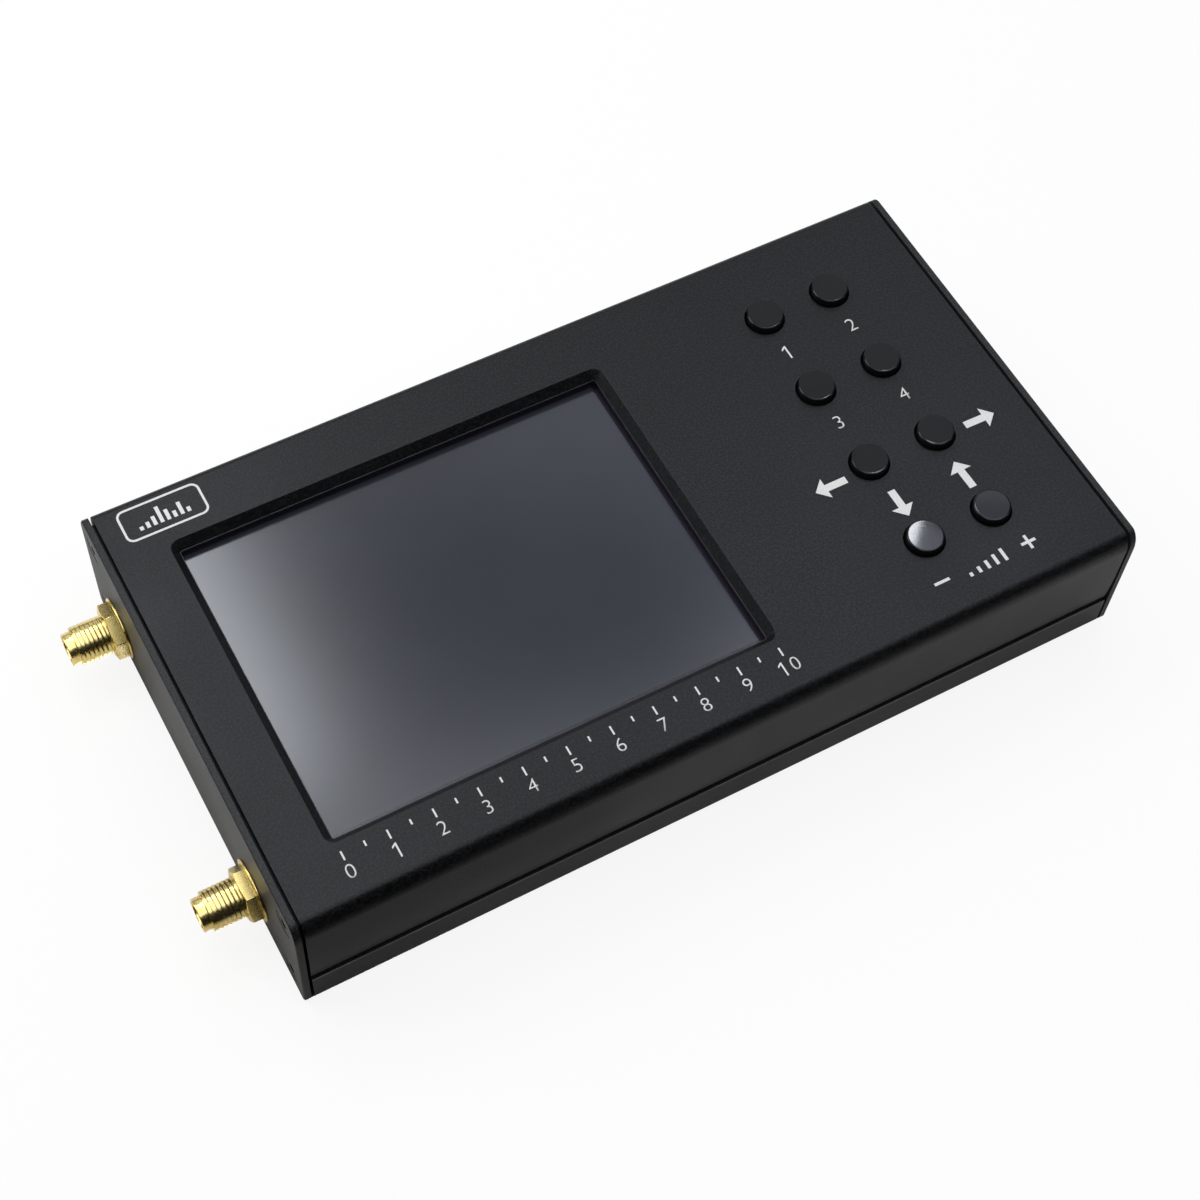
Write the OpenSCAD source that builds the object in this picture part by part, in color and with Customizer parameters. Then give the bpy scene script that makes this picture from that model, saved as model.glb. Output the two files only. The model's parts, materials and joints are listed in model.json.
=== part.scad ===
// Handheld spectrum analyzer: a two-part extruded aluminium case with flat end plates,
// a recessed colour display, eight push keys and two threaded coaxial jacks.
// Millimetres, +Z up, length along X with the jacks on the -X end.
// Origin: centre of the underside.

/* [Case] */
// Length of the extruded shells between the end plates
case_len = 140; // [132:1:170]
// Width of the case
case_w = 77.6; // [74:0.2:90]
// Height of the case
case_h = 24.8; // [24:0.2:32]
// Radius of the long upper edges
edge_r = 2; // [1:0.1:2.4]
// Radius of the long lower edges
foot_r = 1.2; // [1:0.1:2]
// Thickness of the top wall
top_t = 2.2; // [1.6:0.1:2.8]
// Thickness of the side walls
side_t = 2; // [1.6:0.1:2.6]
// Thickness of the floor
floor_t = 2; // [1.4:0.1:2.2]
// Height of the parting line between the two shells
split_z = 7; // [6:0.1:8]
// Width of the groove along the parting line
split_gap = 0.5; // [0.2:0.1:0.8]
// Thickness of the lower shell's tongue behind the groove
tongue_t = 1.2; // [0.8:0.1:1.6]
// Height of the tongue above the groove
tongue_h = 3.4; // [2:0.1:4]

/* [End plates] */
// Thickness of an end plate
plate_t = 1.6; // [1.2:0.1:2.4]
// Width of the shadow gap between plate and shells
seam_gap = 0.35; // [0.1:0.05:0.5]
// Depth of the shadow gap
seam_depth = 0.7; // [0.3:0.1:1]
// Bevel round the outer face of a plate
plate_bevel = 0.5; // [0.2:0.1:0.7]
// Radius of the screw channels in the shells
channel_r = 2.3; // [2:0.1:2.6]
// Radius of a plate screw's shank
screw_r = 1.2; // [1:0.05:1.4]
// Radius of a plate screw's countersunk head
screw_head_r = 2.1; // [1.8:0.1:2.4]
// Length of a plate screw
screw_len = 8; // [6:1:12]

/* [Window and display] */
// Width of the window, along the case
window_w = 74.1; // [66:0.1:80]
// Distance from each long side of the case to the window
window_side = 10.55; // [9.8:0.05:14]
// Distance from the shells' left end to the window
window_left = 8.35; // [5:0.05:10]
// How far the window sits off the case's middle, towards the rear
window_off = -0.4; // [-0.8:0.1:0.8]
// Radius of the window's corners at the foot of its bevel
window_r = 0.5; // [0.3:0.1:2]
// Width of the bevel round the window
window_bevel_w = 1.2; // [0.4:0.1:1.6]
// Depth of the bevel round the window
window_bevel_h = 1.5; // [0.6:0.1:1.8]
// Depth of the glass below the top face
window_depth = 3; // [2.9:0.1:3.6]
// How far the display module reaches past the window
module_lap = 1.2; // [0.8:0.1:1.6]
// Thickness of the touch panel
touch_t = 1.1; // [0.7:0.1:1.4]
// Thickness of the liquid crystal panel
lcd_t = 1.4; // [1:0.1:1.8]
// Thickness of the backlight
backlight_t = 0.8; // [0.6:0.1:1.2]
// Wall and floor of the display frame
frame_t = 0.8; // [0.5:0.1:1]
// Height of the display frame's feet
frame_foot_h = 1.8; // [1:0.1:2.2]
// Width of the display ribbon
ribbon_w = 30; // [16:1:36]
// Thickness of the display ribbon
ribbon_t = 0.2; // [0.1:0.05:0.3]

/* [Keys] */
// Radius of a key cap
key_r = 3; // [2.4:0.1:3.6]
// Height of a key cap above the top face
key_proud = 1.2; // [0.8:0.1:2]
// Radius of the rounding on a key cap's edge
key_edge_r = 0.25; // [0.15:0.05:0.6]
// Radius of the hidden collar that holds a key cap in
key_collar_r = 3.9; // [3.7:0.1:4.4]
// Thickness of that collar
key_collar_t = 0.8; // [0.5:0.1:1]
// Travel of a key
key_travel = 0.5; // [0.3:0.05:0.6]
// Distance between the two columns of keys
key_pitch_x = 12.35; // [10:0.05:14]
// Distance from the long sides of the case to the outer rows of keys
key_side = 14.8; // [13:0.1:20]
// Distance from the right column to the shells' right end
key_right = 16.35; // [12:0.05:20]
// Side of a key's switch housing
switch_w = 6; // [5:0.1:7]
// Height of a key's switch housing
switch_h = 3.5; // [3:0.1:3.8]
// Radius of a switch plunger
plunger_r = 1.75; // [1.2:0.05:2]
// Height of a plunger above its housing
plunger_proud = 0.9; // [0.8:0.1:1]

/* [Jacks] */
// Height of the jacks above the underside
jack_z = 7.6; // [7:0.1:8.4]
// Distance of the rear jack's axis from the rear side
jack_rear_in = 11; // [10.4:0.1:20]
// Distance of the front jack's axis from the front side
jack_front_in = 16.5; // [10.4:0.1:26]
// Length of a jack outside the plate
jack_len = 9; // [7:0.1:12]
// Outer radius of the jack's thread
jack_r = 3.175; // [3:0.005:3.4]
// Radius of the thread's root, where the nut and the plate sit on it
jack_root_r = 2.85; // [2.75:0.05:2.95]
// Radius of the plain ring at the jack's mouth
jack_ring_r = 2.65; // [2.5:0.05:2.9]
// Length of that ring
jack_ring_len = 1.45; // [1:0.05:2.6]
// Radius of the jack's mouth
jack_mouth_r = 2.3; // [2.1:0.05:2.4]
// Depth of the mouth in front of the insulator
jack_mouth_len = 1.9; // [1:0.1:3]
// Radius of the insulator
insulator_r = 2.05; // [1.6:0.05:2.2]
// Radius of the centre contact
contact_r = 0.64; // [0.5:0.02:0.8]
// Radius of the centre contact's hole
contact_hole_r = 0.47; // [0.3:0.01:0.48]
// Side of the square flange behind the plate
jack_flange_w = 6.6; // [6.4:0.1:7.6]
// Thickness of that flange
jack_flange_t = 1.8; // [1:0.1:2.4]
// Size of the nut across its flats
nut_af = 8; // [7.4:0.1:9]
// Thickness of the nut
nut_t = 1.4; // [1.2:0.1:2.4]
// Turn of the rear nut from a corner straight up, in degrees
nut_turn_rear = -3; // [-30:1:30]
// Turn of the front nut from a corner straight up, in degrees
nut_turn_front = 23; // [-30:1:30]
// Outer radius of the lock washer
washer_r = 5.1; // [4.8:0.1:5.4]
// Thickness of the lock washer
washer_t = 0.4; // [0.3:0.1:0.8]

/* [Boards and cell] */
// Thickness of both circuit boards
board_t = 1.6; // [1.2:0.1:1.8]
// Depth of the slots that hold the front board
slot_d = 1.4; // [1:0.1:1.8]
// Thickness of the ledges over and under the front board
ledge_t = 1.2; // [0.8:0.1:1.6]
// Width of the ribs that carry the main board
rib_w = 3; // [2.6:0.1:4]
// Distance of the main board's screws from its ends
board_screw_in = 18; // [12:1:30]
// Radius of a board screw's shank
board_screw_r = 0.95; // [0.8:0.05:1.1]
// Radius of a board screw's head
board_screw_head_r = 1.8; // [1.5:0.1:2.1]
// Height of a board screw's head
board_screw_head_h = 1.2; // [0.8:0.1:1.6]
// Length of a board screw below the head
board_screw_len = 5; // [4:0.5:5.5]
// Length of the screening can
shield_l = 54; // [40:1:60]
// Distance from the main board's long edges to the screening can
shield_side = 5.9; // [5.4:0.1:12]
// Distance from the main board's left end to the screening can
shield_left = 8; // [6:0.5:14]
// Room between the screening can's frame and the front board
shield_room = 1.5; // [1:0.1:3]
// Sheet thickness of the screening can
sheet_t = 0.3; // [0.2:0.05:0.4]
// Length of the cell
cell_l = 70; // [50:1:76]
// Distance from the board ribs to the cell
cell_side = 4.9; // [1:0.1:10]
// Distance from the shells' left end to the cell
cell_left = 15; // [9:1:20]
// Thickness of the cell
cell_t = 3.6; // [3:0.1:3.8]
// Thickness of the pad under the cell
pad_t = 0.4; // [0.2:0.1:0.5]
// Length of the header between the boards
header_l = 26; // [16:1:40]
// Width of that header
header_w = 5; // [3:0.5:6]
// Distance from the screening can to that header
header_gap = 16; // [6:1:20]
// Side of a chip in the screening can
rf_chip_w = 5; // [3:0.5:7]
// Height of a chip in the screening can
rf_chip_h = 1; // [0.8:0.1:1.2]
// Side of a logic chip
logic_chip_w = 10; // [7:0.5:12]
// Height of a logic chip
logic_chip_h = 1.4; // [1:0.1:1.6]

/* [Right end] */
// Width of the charging socket
usb_w = 8.94; // [8.6:0.02:9.2]
// Height of the charging socket
usb_h = 3.26; // [3:0.02:3.4]
// Depth of the charging socket
usb_d = 7.4; // [6.5:0.1:8.5]
// Wall of the charging socket
usb_wall = 0.35; // [0.25:0.05:0.45]
// Distance of the charging socket's axis from the rear side
usb_in = 18.8; // [14:0.1:26]
// Width of the slide switch's body
slide_body_w = 8.6; // [7.6:0.1:10]
// Height of the slide switch's body
slide_body_h = 3.6; // [3:0.1:4]
// Depth of the slide switch's body
slide_body_d = 4.4; // [3.6:0.1:5]
// Width of the switch's slider
slider_w = 2; // [1.6:0.1:2.4]
// Height of the switch's slider
slider_h = 1.6; // [1.2:0.1:2]
// How far the slider stands out of the plate
slider_proud = 1.6; // [1:0.1:2.4]
// Travel of the slider
slider_travel = 2; // [1.5:0.1:2.4]
// Distance of the slide switch's middle from the front side
slide_in = 18.8; // [14:0.1:26]
// Radius of the charge lamp
led_r = 1.45; // [1.2:0.05:1.6]
// Distance of the charge lamp from the charging socket
led_beside = 12; // [8:0.5:16]

/* [Fits] */
// Clearance round a piece that moves
run_gap = 0.3; // [0.2:0.05:0.4]
// Clearance of a plunger in its housing and a screw in its bore
fit_gap = 0.08; // [0.04:0.01:0.1]
// Clearance between pieces that are only assembled
seat_gap = 0.2; // [0.1:0.05:0.3]

/* [Hidden] */
$fn = 48;
e = 0.01;

// Case levels and half widths
half_len = case_len / 2;
half_w = case_w / 2;
inner_half = half_w - side_t;
under_z = case_h - top_t;
straight_top = case_h - edge_r;
lower_top = split_z - split_gap / 2;
upper_bottom = split_z + split_gap / 2;
tongue_y = inner_half - seat_gap;

// Screw channels, sunk a little into wall, top and floor
channel_sink = 0.1;
channel_y = inner_half - channel_r + channel_sink;
channel_top_z = under_z - channel_r + channel_sink;
channel_low_z = floor_t + channel_r - channel_sink;
channel_bore_r = screw_r + fit_gap;
channel_slot_w = 1;
plate_x = half_len + plate_t;
plate_hole_r = screw_r + seat_gap;
plate_sink_r = screw_head_r + 2 * fit_gap;
screw_socket_r = screw_r * 0.75;
screw_socket_d = 0.9;

// Display levels
glass_z = case_h - window_depth;
lcd_z = glass_z - touch_t;
backlight_z = lcd_z - lcd_t;
frame_floor_z = backlight_z - backlight_t;
frame_bottom_z = frame_floor_z - frame_t;
frame_foot_w = 6;
gasket_back = 0.3;
front_top = frame_bottom_z - frame_foot_h;
front_bottom = front_top - board_t;
window_x = -half_len + window_left + window_w / 2;
window_h = case_w - 2 * window_side;
module_l = window_w + 2 * module_lap;
module_w = window_h + 2 * module_lap;
panel_l = module_l - 2 * frame_t - 2 * seat_gap;
panel_w = module_w - 2 * frame_t - 2 * seat_gap;
panel_end = window_x + panel_l / 2;
ribbon_z = backlight_z + ribbon_t;
ribbon_bend_r = (ribbon_z - front_top - ribbon_t / 2 - seat_gap) / 2;
ribbon_run = 1;
ribbon_out = module_lap + frame_t + ribbon_run;
ribbon_side = 0.5;
socket_l = 4;
socket_h = 1.9;
socket_side = 1.5;
socket_x = panel_end + ribbon_out + 2 * ribbon_bend_r + ribbon_run;

// Front board in its slots, clear of the parts on the right end
board_end_gap = 1.4;
front_half_w = inner_half - seat_gap;
front_x0 = -half_len + board_end_gap;
front_x1 = half_len - slide_body_d - board_end_gap;

// Keys
key_hole_r = key_r + run_gap;
key_top = case_h + key_proud;
key_cols = [half_len - key_right - key_pitch_x, half_len - key_right];
key_pitch_y = (case_w - 2 * key_side) / 3;
key_rows = [for (i = [1.5:-1:-1.5]) i * key_pitch_y];
key_places = [for (y = key_rows, x = key_cols) [x, y]];
switch_top = front_top + switch_h;
plunger_top = switch_top + plunger_proud;
plunger_depth = 1.4;
pocket_depth = plunger_depth + key_travel + seat_gap;
collar_top = under_z - run_gap;

// Jacks
jack_rear_y = half_w - jack_rear_in;
jack_front_y = -half_w + jack_front_in;
contact_hole_d = 3;

// Main board on its ribs
rf_top = jack_z + board_t / 2;
rf_bottom = jack_z - board_t / 2;
rf_half_w = channel_y - channel_r - 2 * seat_gap;
rf_x0 = -half_len + jack_flange_t + seat_gap;
rf_x1 = half_len - board_end_gap;
rib_y = rf_half_w - rib_w / 2;
board_screw_x = [rf_x0 + board_screw_in, rf_x1 - board_screw_in];
leg_w = 1;
leg_l = 4.2;
leg_y = 2.55;
rib_start = -half_len + jack_flange_t + leg_l + board_end_gap;
shield_x = rf_x0 + shield_left;
shield_w = 2 * (rf_half_w - shield_side);
shield_h = front_bottom - rf_top - shield_room;
shield_skirt = shield_h / 2;
rf_chip_pitch = 2 * rf_chip_w;
header_x = shield_x + shield_l + header_gap;
logic_chip_x = header_x + header_w / 2 + logic_chip_w;
cell_w = 2 * (rib_y - rib_w / 2 - cell_side);
cell_x = -half_len + cell_left + cell_l / 2;
cell_z = floor_t + pad_t;
pad_in = 2;
plug_l = 4;
plug_w = 6;
plug_h = rf_bottom - cell_z - 2 * seat_gap;
lead_len = 8;
plug_x = cell_x + cell_l / 2 + lead_len;
lead_r = 0.6;
lead_pitch = 2;
lead_z = rf_bottom - plug_h / 2;

// Right end
usb_y = half_w - usb_in;
usb_z = rf_top + usb_h / 2;
usb_x1 = plate_x - seat_gap;
usb_back_t = 1;
tongue_set_back = 0.6;
tongue_w_usb = 6.6;
tongue_t_usb = 0.7;
slide_y = -half_w + slide_in;
slide_z = rf_top + slide_body_h / 2;
slide_x1 = half_len - run_gap;
slider_depth = 1.8;
slider_room = slider_w + slider_travel + 2 * run_gap;
led_flange_r = led_r + 0.2;
led_flange_t = 1;
led_back = 2;
led_y = usb_y - led_beside;
led_z = rf_top + led_flange_r;

// Rectangle with round corners, centred
module round_rect(w, h, r) {
    square([w - 2 * r, h], center = true);
    square([w, h - 2 * r], center = true);
    for (x = [-1, 1], y = [-1, 1])
        translate([x * (w / 2 - r), y * (h / 2 - r)]) circle(r);
}

// Turns a drawing of Y across and Z up into a bar along X
module bar_x(x0, x1) {
    translate([x0, 0, 0]) rotate([90, 0, 90]) linear_extrude(x1 - x0) children();
}

// Turns a drawing of X across and Z up into a bar along Y
module bar_y(y0, y1) {
    translate([0, y1, 0]) rotate([90, 0, 0]) linear_extrude(y1 - y0) children();
}

// Box from its middle in X and Y, and its lower and upper Z
module slab(x, y, l, w, z0, z1) {
    translate([x - l / 2, y - w / 2, z0]) cube([l, w, z1 - z0]);
}

// Cross-section of the closed case, with its lower corners sharper than its upper ones
module case_outline() {
    translate([edge_r - half_w, straight_top]) square([2 * (half_w - edge_r), edge_r]);
    translate([-half_w, foot_r]) square([2 * half_w, straight_top - foot_r]);
    translate([foot_r - half_w, 0]) square([2 * (half_w - foot_r), foot_r]);
    for (s = [-1, 1]) {
        translate([s * (half_w - edge_r), straight_top]) circle(edge_r);
        translate([s * (half_w - foot_r), foot_r]) circle(foot_r);
    }
}

// Band of a cross-section between two heights
module band(z0, z1) {
    intersection() {
        children();
        translate([-case_w, z0]) square([2 * case_w, z1 - z0]);
    }
}

// Rectangle on side s of a cross-section, from y0 out to y1
module side_rect(s, y0, y1, z0, z1) {
    translate([min(s * y0, s * y1), z0]) square([y1 - y0, z1 - z0]);
}

// Screw channel on side s of a cross-section, and the bore and slot that open it
module channel(s, z) {
    translate([s * channel_y, z]) circle(channel_r);
}
module channel_bore(s, z) {
    translate([s * channel_y, z]) circle(channel_bore_r);
    side_rect(s, channel_y - channel_r - e, channel_y, z - channel_slot_w / 2, z + channel_slot_w / 2);
}

module upper_section() {
    difference() {
        union() {
            difference() {
                band(upper_bottom, case_h) case_outline();
                translate([-inner_half, 0]) square([2 * inner_half, under_z]);
            }
            for (s = [-1, 1]) {
                channel(s, channel_top_z);
                for (z = [front_bottom - seat_gap / 2 - ledge_t, front_top + seat_gap / 2])
                    side_rect(s, inner_half - slot_d, inner_half + side_t / 2, z, z + ledge_t);
            }
        }
        for (s = [-1, 1]) channel_bore(s, channel_top_z);
    }
}

module lower_section() {
    difference() {
        union() {
            difference() {
                band(0, lower_top) case_outline();
                translate([-inner_half, floor_t]) square([2 * inner_half, case_h]);
            }
            for (s = [-1, 1]) {
                channel(s, channel_low_z);
                side_rect(s, tongue_y - tongue_t, tongue_y, floor_t / 2, lower_top + tongue_h);
                side_rect(s, tongue_y - tongue_t, inner_half + side_t / 2, floor_t / 2, lower_top);
                side_rect(s, rib_y - rib_w / 2, rib_y + rib_w / 2, floor_t / 2, rf_bottom);
            }
        }
        for (s = [-1, 1]) channel_bore(s, channel_low_z);
    }
}

// Sloping cut that widens as it rises
module bevel_side(half, grow, rise) {
    polygon([[-half, 0], [half, 0], [half + grow, rise], [-half - grow, rise]]);
}

// Window with its bevel, as a cutter: straight sides, with a cone at each corner
module window_cut() {
    half_x = window_w / 2 - window_bevel_w;
    half_y = window_h / 2 - window_bevel_w;
    straight_x = half_x - window_r;
    straight_y = half_y - window_r;
    rise = window_bevel_h + 0.5;
    grow = window_bevel_w * rise / window_bevel_h;
    translate([window_x, window_off, under_z - 1])
        linear_extrude(top_t + 2) round_rect(2 * half_x, 2 * half_y, window_r);
    translate([window_x, window_off, case_h - window_bevel_h]) {
        bar_x(-straight_x, straight_x) bevel_side(half_y, grow, rise);
        bar_y(-straight_y, straight_y) bevel_side(half_x, grow, rise);
        for (x = [-straight_x, straight_x], y = [-straight_y, straight_y])
            translate([x, y, 0]) cylinder(r1 = window_r, r2 = window_r + grow, h = rise);
    }
}

module upper_shell() {
    color("#2b2b2d") difference() {
        bar_x(-half_len, half_len) upper_section();
        window_cut();
        for (p = key_places)
            translate([p.x, p.y, under_z - 1]) cylinder(r = key_hole_r, h = top_t + 2);
    }
}

module lower_shell() {
    color("#28282b") difference() {
        bar_x(-half_len, half_len) lower_section();
        for (x = board_screw_x, s = [-1, 1])
            translate([x, s * rib_y, rf_bottom - board_screw_len + board_t - seat_gap])
                cylinder(r = board_screw_r + fit_gap, h = board_screw_len);
        for (s = [-1, 1])
            bar_x(-half_len - 1, rib_start)
                side_rect(s, rib_y - rib_w / 2 - e, rib_y + rib_w / 2 + e, floor_t, rf_bottom + 1);
    }
}

// Places of the four screws of an end plate
module at_plate_screws() {
    for (y = [-channel_y, channel_y], z = [channel_low_z, channel_top_z])
        translate([0, y, z]) children();
}

// Straight run of an end plate in profile: on both edges the step of its shadow gap and its bevel
module plate_profile(low, high) {
    shoulder = plate_t - plate_bevel;
    polygon([[0, low + seam_depth], [seam_gap, low + seam_depth], [seam_gap, low], [shoulder, low],
        [plate_t, low + plate_bevel], [plate_t, high - plate_bevel], [shoulder, high], [seam_gap, high],
        [seam_gap, high - seam_depth], [0, high - seam_depth]]);
}

// Corner of an end plate, turned about the middle of its rounding
module plate_corner(r) {
    rotate([0, 90, 0]) rotate_extrude()
        polygon([[0, 0], [r - seam_depth, 0], [r - seam_depth, seam_gap], [r, seam_gap],
            [r, plate_t - plate_bevel], [r - plate_bevel, plate_t], [0, plate_t]]);
}

// End plate with its inner face at x = 0, facing +X
module plate_blank() {
    difference() {
        union() {
            translate([0, 0, foot_r]) linear_extrude(straight_top - foot_r) plate_profile(-half_w, half_w);
            bar_y(edge_r - half_w, half_w - edge_r) plate_profile(foot_r, case_h);
            bar_y(foot_r - half_w, half_w - foot_r) plate_profile(0, straight_top);
            for (s = [-1, 1]) {
                translate([0, s * (half_w - edge_r), straight_top]) plate_corner(edge_r);
                translate([0, s * (half_w - foot_r), foot_r]) plate_corner(foot_r);
            }
        }
        at_plate_screws() rotate([0, 90, 0]) {
            translate([0, 0, -1]) cylinder(r = plate_hole_r, h = plate_t + 2);
            translate([0, 0, plate_t - plate_sink_r + plate_hole_r])
                cylinder(r1 = plate_hole_r, r2 = plate_sink_r + e, h = plate_sink_r - plate_hole_r + e);
        }
    }
}

module left_plate() {
    color("#3a3a3c") difference() {
        translate([-half_len, 0, 0]) mirror([1, 0, 0]) plate_blank();
        for (y = [jack_rear_y, jack_front_y])
            translate([-plate_x - 1, y, jack_z]) rotate([0, 90, 0])
                cylinder(r = jack_r + fit_gap, h = plate_t + 2);
    }
}

module right_plate() {
    color("#3a3a3c") difference() {
        translate([half_len, 0, 0]) plate_blank();
        bar_x(half_len - 1, plate_x + 1) translate([usb_y, usb_z])
            round_rect(usb_w + 2 * seat_gap, usb_h + 2 * seat_gap, usb_h / 2);
        bar_x(half_len - 1, plate_x + 1) translate([slide_y, slide_z])
            square([slider_room, slider_h + 2 * run_gap], center = true);
        translate([half_len - 1, led_y, led_z]) rotate([0, 90, 0])
            cylinder(r = led_r + fit_gap, h = plate_t + 2);
    }
}

// Countersunk screw along -Z with its head's face at z = 0
module countersunk() {
    neck = screw_head_r - screw_r;
    difference() {
        union() {
            translate([0, 0, -neck]) cylinder(r1 = screw_r, r2 = screw_head_r, h = neck);
            translate([0, 0, -screw_len]) cylinder(r = screw_r, h = screw_len - neck + e);
        }
        translate([0, 0, -screw_socket_d]) cylinder(r = screw_socket_r, h = screw_socket_d + 1, $fn = 6);
    }
}

module left_plate_screws() {
    color("#1c1c1e") translate([-plate_x, 0, 0]) at_plate_screws() rotate([0, -90, 0])
        translate([0, 0, -fit_gap]) countersunk();
}

module right_plate_screws() {
    color("#1c1c1e") translate([plate_x, 0, 0]) at_plate_screws() rotate([0, 90, 0])
        translate([0, 0, -fit_gap]) countersunk();
}

module display_gasket() {
    gasket_in = window_bevel_w - gasket_back;
    color("#141414") translate([window_x, 0, glass_z]) linear_extrude(under_z - glass_z) difference() {
        square([module_l, module_w], center = true);
        translate([0, window_off])
            round_rect(window_w - 2 * gasket_in, window_h - 2 * gasket_in, window_r + gasket_back);
    }
}

module touch_panel() {
    color("#6e737b") slab(window_x, 0, module_l, module_w, lcd_z, glass_z);
}

module lcd_panel() {
    color("#4a4f58") slab(window_x, 0, panel_l, panel_w, backlight_z, lcd_z);
}

module backlight() {
    color("#e8e8e4") slab(window_x, 0, panel_l, panel_w, frame_floor_z, backlight_z);
}

module display_frame() {
    color("#b8babc") difference() {
        slab(window_x, 0, module_l, module_w, front_top, lcd_z);
        slab(window_x, 0, panel_l + 2 * seat_gap, panel_w + 2 * seat_gap, frame_floor_z, lcd_z + 1);
        slab(window_x + module_l / 2, 0, 4 * frame_t, ribbon_w + 2 * ribbon_side, backlight_z, lcd_z + 1);
        slab(window_x, 0, module_l - 2 * frame_foot_w, module_w + 1, front_top - 1, frame_bottom_z);
        slab(window_x, 0, module_l + 1, module_w - 2 * frame_foot_w, front_top - 1, frame_bottom_z);
    }
}

// Quarter ring of the ribbon's edge view
module ribbon_bend() {
    intersection() {
        difference() {
            circle(ribbon_bend_r + ribbon_t / 2);
            circle(ribbon_bend_r - ribbon_t / 2);
        }
        square(2 * ribbon_bend_r);
    }
}

module display_ribbon() {
    r = ribbon_bend_r;
    x1 = panel_end + ribbon_out;
    color("#c98a2b") bar_y(-ribbon_w / 2, ribbon_w / 2) union() {
        translate([panel_end, ribbon_z - ribbon_t / 2]) square([ribbon_out + e, ribbon_t]);
        translate([x1, ribbon_z - r]) ribbon_bend();
        translate([x1 + 2 * r, ribbon_z - r]) mirror([1, 0]) mirror([0, 1]) ribbon_bend();
        translate([x1 + 2 * r - e, ribbon_z - 2 * r - ribbon_t / 2])
            square([socket_x - x1 - 2 * r + e, ribbon_t]);
    }
}

module ribbon_socket() {
    color("#ece7d8") slab(socket_x + socket_l / 2, 0, socket_l, ribbon_w + 2 * socket_side,
        front_top, front_top + socket_h);
}

module front_board() {
    color("#1f5b34") slab((front_x0 + front_x1) / 2, 0, front_x1 - front_x0, 2 * front_half_w,
        front_bottom, front_top);
}

module key_switches() {
    color("#2a2a2a") for (p = key_places) difference() {
        slab(p.x, p.y, switch_w, switch_w, front_top, switch_top);
        translate([p.x, p.y, switch_top - pocket_depth])
            cylinder(r = plunger_r + fit_gap, h = pocket_depth + 1);
    }
}

// Key cap number i: a round-edged button with a collar under the top wall
module key_cap(i) {
    color("#0d0d0e") translate(key_places[i - 1]) rotate_extrude() {
        translate([0, plunger_top]) square([key_r, key_top - key_edge_r - plunger_top]);
        square_top = key_top - key_edge_r;
        translate([0, square_top - e]) square([key_r - key_edge_r, key_edge_r + e]);
        translate([key_r - key_edge_r, square_top]) intersection() {
            circle(key_edge_r);
            square(key_edge_r);
        }
        translate([0, collar_top - key_collar_t]) square([key_collar_r, key_collar_t]);
    }
}

module key_plunger(i) {
    color("#e2ddd0") translate([key_places[i - 1].x, key_places[i - 1].y, switch_top - plunger_depth])
        cylinder(r = plunger_r, h = plunger_depth + plunger_proud);
}

// Turns a drawing of radius and distance into a piece along -X, from the plate's inner face
module turned_out(y) {
    translate([-half_len, y, jack_z]) rotate([0, -90, 0]) rotate_extrude() children();
}

module jack_body(y) {
    tip = plate_t + jack_len;
    thread_start = plate_t + washer_t + nut_t;
    bore = insulator_r + fit_gap;
    color("#d4ae57") union() {
        turned_out(y) difference() {
            union() {
                translate([0, -e]) square([jack_root_r, thread_start + 2 * e]);
                translate([0, thread_start]) square([jack_r, tip - jack_ring_len - thread_start]);
                square([jack_ring_r, tip]);
            }
            translate([0, -1]) square([bore, tip + 2]);
            translate([0, tip - jack_mouth_len]) square([jack_mouth_r, jack_mouth_len + 1]);
        }
        difference() {
            translate([-half_len, y - jack_flange_w / 2, jack_z - jack_flange_w / 2])
                cube([jack_flange_t, jack_flange_w, jack_flange_w]);
            translate([-half_len - 1, y, jack_z]) rotate([0, 90, 0])
                cylinder(r = bore, h = jack_flange_t + 2);
        }
        for (s = [-1, 1], z = [rf_bottom - leg_w, rf_top])
            translate([-half_len + jack_flange_t - e, y + s * leg_y - leg_w / 2, z])
                cube([leg_l, leg_w, leg_w]);
    }
}

module jack_insulator(y) {
    color("#f2f0ea") turned_out(y) difference() {
        translate([0, -jack_flange_t]) square([insulator_r, jack_flange_t + plate_t + jack_len - jack_mouth_len]);
        translate([0, -jack_flange_t - 1]) square([contact_r + fit_gap, plate_t + jack_len + jack_flange_t + 2]);
    }
}

module jack_contact(y) {
    tip = plate_t + jack_len - jack_mouth_len;
    color("#d9b866") turned_out(y) difference() {
        translate([0, -jack_flange_t]) square([contact_r, jack_flange_t + tip]);
        translate([0, tip - contact_hole_d]) square([contact_hole_r, contact_hole_d + 1]);
    }
}

module jack_washer(y) {
    color("#d4ae57") turned_out(y) translate([jack_r + fit_gap, plate_t])
        square([washer_r - jack_r - fit_gap, washer_t]);
}

module jack_nut(y, turn) {
    corner = nut_af / 2 / cos(30);
    bevel = corner - nut_af / 2;
    color("#d4ae57") translate([-plate_x - washer_t, y, jack_z]) rotate([0, -90, 0]) rotate([0, 0, turn])
        difference() {
            intersection() {
                cylinder(r = corner, h = nut_t, $fn = 6);
                rotate_extrude()
                    polygon([[0, 0], [corner, 0], [corner, nut_t - bevel / 2], [nut_af / 2 - bevel / 3, nut_t],
                        [0, nut_t]]);
            }
            translate([0, 0, -1]) cylinder(r = jack_root_r + fit_gap, h = nut_t + 2);
        }
}

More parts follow.
